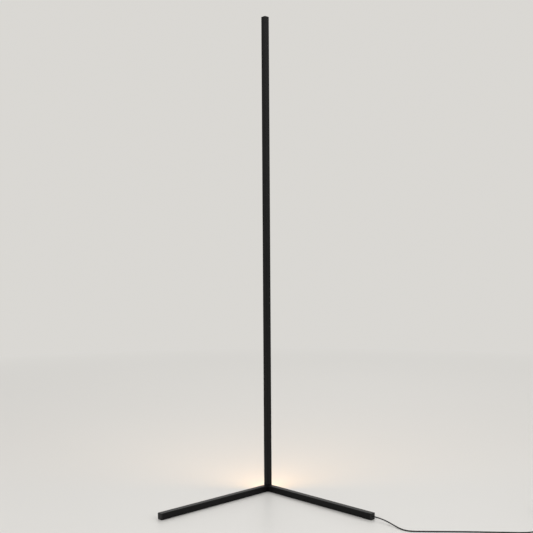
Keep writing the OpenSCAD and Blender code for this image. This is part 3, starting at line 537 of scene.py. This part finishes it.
surfaces = {
    "column_black": finish_of(
        "column_black", BLACK, BLACK_LIGHT, (0.34, 0.42), 60,
        [(2200, LINES_Z, 0, 0.3, 0.0001), (2300, ROUND_GRAIN, 0, 0.45, 0.00012)], EDGE_WEAR_AND_HIGHLIGHT_GREY, 0.0005,
        Specular_IOR_Level=0.115),
    "cap_black": finish_of(
        "cap_black", BLACK, BLACK_LIGHT, (0.36, 0.46), 90, [(2400, ROUND_GRAIN, 0, 0.22, 0.0001)],
        EDGE_WEAR_AND_HIGHLIGHT_GREY, 0.0004, Specular_IOR_Level=0.12),
    "block_black": finish_of(
        "block_black", BLACK, (0.0085, 0.0083, 0.0081), (0.38, 0.5), 60,
        [(2300, ROUND_GRAIN, 0, 0.45, 0.00012), (240, ROUND_GRAIN, 0, 0.25, 0.0003)], EDGE_WEAR_AND_HIGHLIGHT_GREY, 0.0006,
        Specular_IOR_Level=0.12),
    "end_cap_plastic": finish_of(
        "end_cap_plastic", (0.0045, 0.0045, 0.0048), (0.0078, 0.0077, 0.0076), (0.42, 0.52), 120,
        [(2200, ROUND_GRAIN, 0, 0.5, 0.00015)], None, 0.0004, Specular_IOR_Level=0.24),
    "foot_rubber": finish_of(
        "foot_rubber", (0.012, 0.012, 0.012), (0.020, 0.019, 0.018), (0.75, 0.9), 150,
        [(1800, ROUND_GRAIN, 0, 0.6, 0.0003)], None, 0.0003, Specular_IOR_Level=0.25),
    "grommet_rubber": finish_of(
        "grommet_rubber", (0.007, 0.007, 0.007), (0.013, 0.012, 0.012), (0.55, 0.7), 200,
        [(2400, ROUND_GRAIN, 0, 0.5, 0.00015)], None, 0.00025, Specular_IOR_Level=0.3),
    "tie_nylon": finish_of(
        "tie_nylon", (0.62, 0.61, 0.57), (0.72, 0.71, 0.68), (0.38, 0.5), 300,
        [(1600, ROUND_GRAIN, 0, 0.3, 0.0001)], None, 0.0002, Subsurface_Weight=0.15, Subsurface_Scale=0.002),
    "cord_pvc": finish_of(
        "cord_pvc", (0.0045, 0.0045, 0.0047), (0.0085, 0.0083, 0.0081), (0.36, 0.5), 180,
        [(1400, ROUND_GRAIN, 0, 0.35, 0.00015), (260, ROUND_GRAIN, 0, 0.3, 0.0004)], None, 0.0002,
        Specular_IOR_Level=0.25),
    "lead_red": finish_of(
        "lead_red", (0.34, 0.012, 0.012), (0.46, 0.022, 0.018), (0.3, 0.42), 260,
        [(900, ROUND_GRAIN, 0, 0.3, 0.00015)], None, 0.0002),
    "lead_black": finish_of(
        "lead_black", (0.012, 0.012, 0.012), (0.024, 0.024, 0.024), (0.3, 0.42), 260,
        [(900, ROUND_GRAIN, 0, 0.3, 0.00015)], None, 0.0002),
    "switch_plastic": finish_of(
        "switch_plastic", (0.0065, 0.0065, 0.0068), (0.0105, 0.0104, 0.0103), (0.46, 0.58), 120,
        [(2800, ROUND_GRAIN, 0, 0.7, 0.00015)], (0.02, 0.02, 0.02), 0.0007, Specular_IOR_Level=0.3),
    "adapter_plastic": finish_of(
        "adapter_plastic", (0.0068, 0.0068, 0.0070), (0.011, 0.011, 0.0108), (0.46, 0.6), 90,
        [(2600, ROUND_GRAIN, 0, 0.7, 0.00015)], (0.02, 0.02, 0.02), 0.0005, Specular_IOR_Level=0.3),
    "button_plastic": finish_of(
        "button_plastic", (0.022, 0.022, 0.024), (0.030, 0.030, 0.032), (0.26, 0.36), 150,
        [(2200, ROUND_GRAIN, 0, 0.2, 0.0001)], (0.06, 0.06, 0.06), 0.0003, Specular_IOR_Level=0.5),
    "unit_plastic": finish_of(
        "unit_plastic", (0.05, 0.05, 0.055), (0.075, 0.075, 0.08), (0.45, 0.6), 200,
        [(1800, ROUND_GRAIN, 0, 0.4, 0.00015)], None, 0.0003),
    "screw_black": finish_of(
        "screw_black", (0.018, 0.018, 0.019), (0.035, 0.034, 0.033), (0.3, 0.45), 500,
        [(3000, ROUND_GRAIN, 0, 0.3, 0.00005)], (0.16, 0.155, 0.15), 0.00015, Metallic=0.9),
    "screw_zinc": finish_of(
        "screw_zinc", (0.52, 0.53, 0.54), (0.66, 0.66, 0.64), (0.22, 0.38), 500,
        [(2600, ROUND_GRAIN, 0, 0.3, 0.00005)], (0.8, 0.8, 0.79), 0.00015, Metallic=1.0),
    "pin_nickel": finish_of(
        "pin_nickel", (0.62, 0.60, 0.55), (0.74, 0.72, 0.67), (0.14, 0.28), 300,
        [(2400, PIN_LINES, 0, 0.25, 0.00005)], (0.82, 0.8, 0.76), 0.0002, Metallic=1.0),
}

# ---------------------------------------------------------------- materials laid out by place


def split_place(s):
    found = s.add("ShaderNodeSeparateXYZ", [(0, s.place)]).outputs
    return found["X"], found["Y"], found["Z"]


HAIRLINE = 0.05 * MM


def step_up(s, value, at, soft=HAIRLINE):
    """0 below a value and 1 above it, with a thin soft edge."""
    return s.between(value, 0, 1, at - soft, at + soft)


def band(s, value, low, high):
    """1 between two values and 0 outside them."""
    return s.maths("MULTIPLY", step_up(s, value, low), s.maths("SUBTRACT", 1, step_up(s, value, high)))


def from_centre(s, value, start, period, centre=0.5):
    """Signed distance from the centre of a cell, in a row of cells that starts at start."""
    cycles = s.maths("DIVIDE", s.maths("SUBTRACT", value, start), period)
    return s.maths("MULTIPLY", s.maths("SUBTRACT", s.maths("FRACT", cycles), centre), period)


def from_cut(s, z, start=STRIP_Z):
    """Distance from the nearest cut line of the strip, or from what else repeats once in each unit."""
    past = s.maths("ABSOLUTE", from_centre(s, z, start * MM, STRIP_UNIT * MM, 0.0))
    return s.maths("MINIMUM", past, s.maths("SUBTRACT", STRIP_UNIT * MM, past))


# where the cover's glow rises from its lower end and falls again at its upper end
GLOW_FROM = (0.018, 0.045)
GLOW_TO = (1.37, 1.398)
COVER_HALF_W = 7.8 * MM
END_GLOW = 0.62
SPOT_GLOW = 0.93
FLANK_GLOW = 0.72


def milky():
    """Milky cover, lit from inside: a little brighter before each light, darker at the flanks and ends."""
    s = Surface("diffuser_milky", Roughness=0.42, Specular_IOR_Level=0.4, Emission_Strength=1.0)
    x, _, z = split_place(s)
    waves = s.maths("COSINE", s.maths("MULTIPLY", from_centre(s, z, STRIP_Z * MM, CHIP_STEP * MM),
                                      2 * math.pi / (CHIP_STEP * MM)))
    spots = s.between(waves, SPOT_GLOW, 1.0, -1, 1)
    side = s.maths("POWER", s.maths("ABSOLUTE", s.maths("DIVIDE", x, COVER_HALF_W)), 2.0)
    flanks = s.between(side, 1.0, FLANK_GLOW, 0, 1)
    low = s.between(z, END_GLOW, 1.0, *GLOW_FROM)
    high = s.between(z, 1.0, END_GLOW, *GLOW_TO)
    shade = s.maths("MULTIPLY", s.maths("MULTIPLY", spots, flanks), s.maths("MULTIPLY", low, high))
    clouds = s.between(s.noise(30, detail=2), 0.97, 1.0)
    glow = s.blend(s.maths("MULTIPLY", shade, clouds), (0.10, 0.05, 0.018), (0.86, 0.62, 0.34))
    s.feed("Emission Color", glow)
    s.feed("Base Color", s.blend(clouds, (0.30, 0.26, 0.2), (0.36, 0.32, 0.26)))
    s.soften(0.0003)
    s.bump(s.noise(1500), 0.2, 0.00002)
    return s.done()


WINDOW_R = 1.12 * MM
SOFT_EDGE = 0.1 * MM


def light_chips():
    """Small white frames with a round yellow window, lit."""
    s = Surface("led_phosphor", Roughness=0.35, Emission_Strength=1.0)
    x, _, z = split_place(s)
    dz = from_centre(s, z, STRIP_Z * MM, CHIP_STEP * MM)
    r = s.maths("SQRT", s.maths("ADD", s.maths("POWER", x, 2.0), s.maths("POWER", dz, 2.0)))
    window = s.between(r, 1, 0, WINDOW_R, WINDOW_R + SOFT_EDGE)
    s.feed("Base Color", s.blend(window, (0.72, 0.71, 0.66), (0.62, 0.40, 0.06)))
    s.feed("Emission Color", s.blend(window, (0.1, 0.08, 0.05), (0.55, 0.42, 0.2)))
    s.bump(s.maths("ADD", r, s.noise(900)), 0.2, 0.00002)
    return s.done()


# the strip's tracks and pads, across it from its middle and along it from a cut line
TRACK_ACROSS = (2.0 * MM, 3.4 * MM)
PAD_ACROSS = (1.0 * MM, 3.0 * MM)
PAD_ALONG = (0.3 * MM, 2.4 * MM)
CUT_LINE = 0.1 * MM
RESISTOR_END = 1.15 * MM


def strip_board():
    """White mask, two long tracks that show through it, and tinned pads at each cut line."""
    s = Surface("strip_white", Specular_IOR_Level=0.5)
    x, _, z = split_place(s)
    side = s.maths("ABSOLUTE", x)
    gap = from_cut(s, z)
    track = band(s, side, *TRACK_ACROSS)
    pad = s.maths("MULTIPLY", band(s, gap, *PAD_ALONG), band(s, side, *PAD_ACROSS))
    mask = s.blend(track, (0.74, 0.74, 0.72), (0.66, 0.67, 0.63))
    mask = s.blend(s.between(s.noise(500), 0, 0.4), mask, (0.80, 0.80, 0.78))
    line = s.maths("SUBTRACT", 1, step_up(s, gap, CUT_LINE))
    marked = s.blend(line, mask, (0.12, 0.12, 0.12))
    s.feed("Base Color", s.blend(pad, marked, (0.72, 0.66, 0.52)))
    s.feed("Metallic", pad)
    s.feed("Roughness", s.between(pad, 0.5, 0.28, 0, 1))
    s.bump(s.maths("ADD", track, pad), 0.5, 0.00003)
    return s.done()


def resistors():
    """Black ceramic body between two tinned ends."""
    s = Surface("resistor_black")
    _, _, z = split_place(s)
    end = step_up(s, from_cut(s, z, STRIP_Z + CHIP_STEP), RESISTOR_END)
    s.feed("Base Color", s.blend(end, (0.012, 0.012, 0.013), (0.66, 0.66, 0.63)))
    s.feed("Metallic", end)
    s.feed("Roughness", s.between(s.noise(2000), 0.3, 0.5))
    s.bump(s.maths("ADD", end, s.noise(2500)), 0.3, 0.00002)
    return s.done()


THREAD_PITCH = 0.7 * MM
SELVAGE_FROM = 3.0 * MM
SELVAGE_SOFT = 0.2 * MM


def woven():
    """Woven strap: threads along and across, over and under each other, with paler woven edges."""
    s = Surface("strap_fabric", Sheen_Weight=0.25, Sheen_Roughness=0.5, Specular_IOR_Level=0.14)
    flat = s.add("ShaderNodeSeparateXYZ", [(0, s.add("ShaderNodeTexCoord").outputs["UV"])]).outputs
    u, v = flat["X"], flat["Y"]
    warp, weft = [s.maths("SINE", s.maths("MULTIPLY", way, 2 * math.pi / THREAD_PITCH)) for way in (u, v)]
    weave = s.between(s.maths("MULTIPLY", warp, weft), 0, 1, -1, 1)
    fibres = s.noise(4000, detail=4)
    thread = s.maths("ADD", weave, s.maths("MULTIPLY", fibres, 0.5))
    edge = step_up(s, s.maths("ABSOLUTE", u), SELVAGE_FROM, SELVAGE_SOFT)
    dark = s.blend(weave, (0.010, 0.010, 0.011), (0.030, 0.030, 0.032))
    s.feed("Base Color", s.blend(edge, dark, (0.045, 0.045, 0.047)))
    s.feed("Roughness", s.between(fibres, 0.75, 0.95))
    s.bump(thread, 0.8, 0.00015)
    return s.done()


def circuit_green():
    """Green mask over tracks, with tinned dots."""
    s = Surface("board_green", Specular_IOR_Level=0.5)
    place = s.mapped((1, 1, 0))
    bricks = s.add("ShaderNodeTexBrick", [("Vector", place), ("Scale", 220.0), ("Mortar Size", 0.12)])
    tracks = s.blend(bricks.outputs["Fac"], (0.012, 0.075, 0.028), (0.02, 0.13, 0.05))
    dots = s.between(s.cells(260), 1, 0, 0.10, 0.13)
    s.feed("Base Color", s.blend(dots, tracks, (0.6, 0.6, 0.57)))
    s.feed("Metallic", dots)
    s.feed("Roughness", s.between(s.noise(300), 0.28, 0.42))
    s.bump(s.maths("ADD", bricks.outputs["Fac"], dots), 0.4, 0.00003)
    return s.done()


# places in the adapter that tell its parts apart
CORE_FROM_Y = -256.3 * MM
BRASS_FROM_Y = -235.0 * MM
CORE_SIDE_X = 6.6 * MM
CORE_TOP_Z = 10.5 * MM
CAN_TOP_Z = 17.4 * MM


def circuit_parts():
    """By place: capacitor sleeves, a taped transformer with its dark core, and brass contacts."""
    s = Surface("parts_mixed")
    x, y, z = split_place(s)
    to_core = step_up(s, y, CORE_FROM_Y)
    to_brass = step_up(s, y, BRASS_FROM_Y)
    off = s.maths("ABSOLUTE", s.maths("SUBTRACT", x, ADAPTER_AT[0] * MM))
    under = s.maths("SUBTRACT", 1, step_up(s, z, CORE_TOP_Z))
    core = s.maths("MAXIMUM", step_up(s, off, CORE_SIDE_X), under)
    tape = s.blend(s.between(s.noise(150), 0, 1), (0.55, 0.36, 0.04), (0.68, 0.46, 0.07))
    transformer = s.blend(core, tape, (0.03, 0.029, 0.028))
    can_top = step_up(s, z, CAN_TOP_Z)
    sleeve = s.blend(s.between(s.noise(300), 0, 1), (0.014, 0.018, 0.035), (0.022, 0.026, 0.05))
    capacitor = s.blend(can_top, sleeve, (0.6, 0.6, 0.6))
    s.feed("Base Color", s.blend(to_brass, s.blend(to_core, capacitor, transformer), (0.72, 0.52, 0.22)))
    bare_can = s.maths("MULTIPLY", can_top, s.maths("SUBTRACT", 1, to_core))
    s.feed("Metallic", s.maths("MAXIMUM", to_brass, bare_can))
    s.feed("Roughness", s.between(s.noise(400), 0.3, 0.45))
    s.soften(0.0004)
    s.bump(s.noise(900), 0.3, 0.00003)
    return s.done()


surfaces.update(
    diffuser_milky=milky(), led_phosphor=light_chips(), strip_white=strip_board(), resistor_black=resistors(),
    strap_fabric=woven(), board_green=circuit_green(), parts_mixed=circuit_parts(),
)

# a leg's lines run along it, so each leg has its own turn of the same finish
LEG_TURN = 45
for name, turn in (("leg_left", LEG_TURN), ("leg_right", -LEG_TURN)):
    surfaces[name] = finish_of(
        f"{name}_black", BLACK, BLACK_LIGHT, (0.32, 0.40), 60,
        [(2000, LINES_Y, turn, 0.2, 0.0001), (2300, ROUND_GRAIN, 0, 0.45, 0.00012)], EDGE_WEAR_AND_HIGHLIGHT_GREY, 0.0005,
        Specular_IOR_Level=0.1)


def dress(made, material):
    made.data.materials.clear()
    made.data.materials.append(material)


for part in frame["record"]["subparts"]:
    dress(nodes[part["node"]], surfaces.get(part["node"]) or surfaces[part["material_slot"]])
for made in bpy.context.scene.objects:
    if "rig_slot" in made:
        dress(made, surfaces[made["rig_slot"]])

# ---------------------------------------------------------------- floor and light

FLOOR_RADIUS = 30
FLOOR_SIDES = 64
PALE = (0.655, 0.635, 0.6)
PATCH_TONE = 0.985
PATCH_SCALE = 0.8
GLOSS_SCALE = 0.6
FLOOR_ROUGHNESS = (0.36, 0.40)
BACKGROUND = (0.70, 0.685, 0.655)
# the floor's distances from the lamp between which it fades to the background's colour
FADE_FROM = 0.8
FADE_TO = 4.2
SKY = (0.95, 0.97, 1.0)
SKY_STRENGTH = 0.5


def seen_share(tree):
    """1 for what the camera sees, straight or in gloss and glass, and 0 for what lights the object."""
    rays = tree.nodes.new("ShaderNodeLightPath").outputs
    share = rays["Is Camera Ray"]
    for name in ("Is Glossy Ray", "Is Transmission Ray"):
        either = tree.nodes.new("ShaderNodeMath")
        either.operation = "MAXIMUM"
        tree.links.new(share, either.inputs[0])
        tree.links.new(rays[name], either.inputs[1])
        share = either.outputs[0]
    return share


def make_floor():
    """Pale, faintly glossy floor. It fades to the background's colour far from the lamp."""
    mesh = bmesh.new()
    bmesh.ops.create_circle(mesh, cap_ends=True, segments=FLOOR_SIDES, radius=FLOOR_RADIUS)
    floor = piece("floor", mesh)
    s = Surface("floor_pale", Specular_IOR_Level=0.3)
    patches = s.between(s.noise(PATCH_SCALE), 0, 1)
    s.feed("Base Color", s.blend(patches, PALE, tuple(part * PATCH_TONE for part in PALE)))
    s.feed("Roughness", s.between(s.noise(GLOSS_SCALE, detail=0), *FLOOR_ROUGHNESS))
    distance = s.add("ShaderNodeVectorMath", [(0, s.place)], operation="LENGTH").outputs["Value"]
    far = s.between(distance, 0, 1, FADE_FROM, FADE_TO)
    plain = s.add("ShaderNodeEmission", [("Color", (*BACKGROUND, 1)), ("Strength", 1.0)])
    share = s.maths("MULTIPLY", far, seen_share(s.tree))
    mix = s.add("ShaderNodeMixShader", [(0, share), (1, s.shader.outputs[0]), (2, plain.outputs[0])])
    out = s.tree.nodes["Material Output"]
    s.tree.links.new(mix.outputs[0], out.inputs[0])
    dress(floor, s.done())


def make_world():
    world = bpy.data.worlds.new("studio")
    world.use_nodes = True
    tree = world.node_tree
    ambient = tree.nodes["Background"]
    ambient.inputs[0].default_value = (*SKY, 1)
    ambient.inputs[1].default_value = SKY_STRENGTH
    seen = tree.nodes.new("ShaderNodeBackground")
    seen.inputs[0].default_value = (*BACKGROUND, 1)
    seen.inputs[1].default_value = 1.0
    mix = tree.nodes.new("ShaderNodeMixShader")
    tree.links.new(seen_share(tree), mix.inputs[0])
    tree.links.new(ambient.outputs[0], mix.inputs[1])
    tree.links.new(seen.outputs[0], mix.inputs[2])
    tree.links.new(mix.outputs[0], tree.nodes["World Output"].inputs[0])
    bpy.context.scene.world = world


WHITE = (1, 1, 1)
WARM = (1.0, 0.58, 0.22)
SLOT_Y = 0.0125
SLOT_W = 0.012
LIT_LENGTH = 1.34
MID_HEIGHT = 0.70
OWN_WATTS = 2.2

# name: place, aim, size, watts, colour
STUDIO = {
    "key": ((-2.6, -2.4, 3.0), (0, 0, 0.5), (2.4, 2.4), 95, WHITE),
    "fill": ((3.0, -1.6, 2.2), (0, 0, 0.5), (2.6, 2.6), 50, WHITE),
    "back": ((0.4, 3.0, 3.0), (0, 0, 0.4), (3.0, 2.0), 55, WHITE),
}
# the lamp's own light, which falls on the floor behind it
OWN_LIGHT = ((0, SLOT_Y, MID_HEIGHT), (0, 1, MID_HEIGHT), (SLOT_W, LIT_LENGTH), OWN_WATTS, WARM)


def area_light(name, at, aim, size, power, colour):
    data = bpy.data.lights.new(name, "AREA")
    data.shape = "RECTANGLE"
    data.size, data.size_y = size
    data.energy = power
    data.color = colour
    light = bpy.data.objects.new(name, data)
    light.location = at
    light.rotation_mode = "QUATERNION"
    light.rotation_quaternion = (Vector(aim) - Vector(at)).to_track_quat("-Z", "Y")
    light.visible_camera = False
    bpy.context.scene.collection.objects.link(light)
    return light


make_floor()
make_world()
for name, settings in STUDIO.items():
    area_light(name, *settings)
area_light("own_light", *OWN_LIGHT).visible_glossy = False

bpy.context.scene.view_settings.view_transform = "Standard"
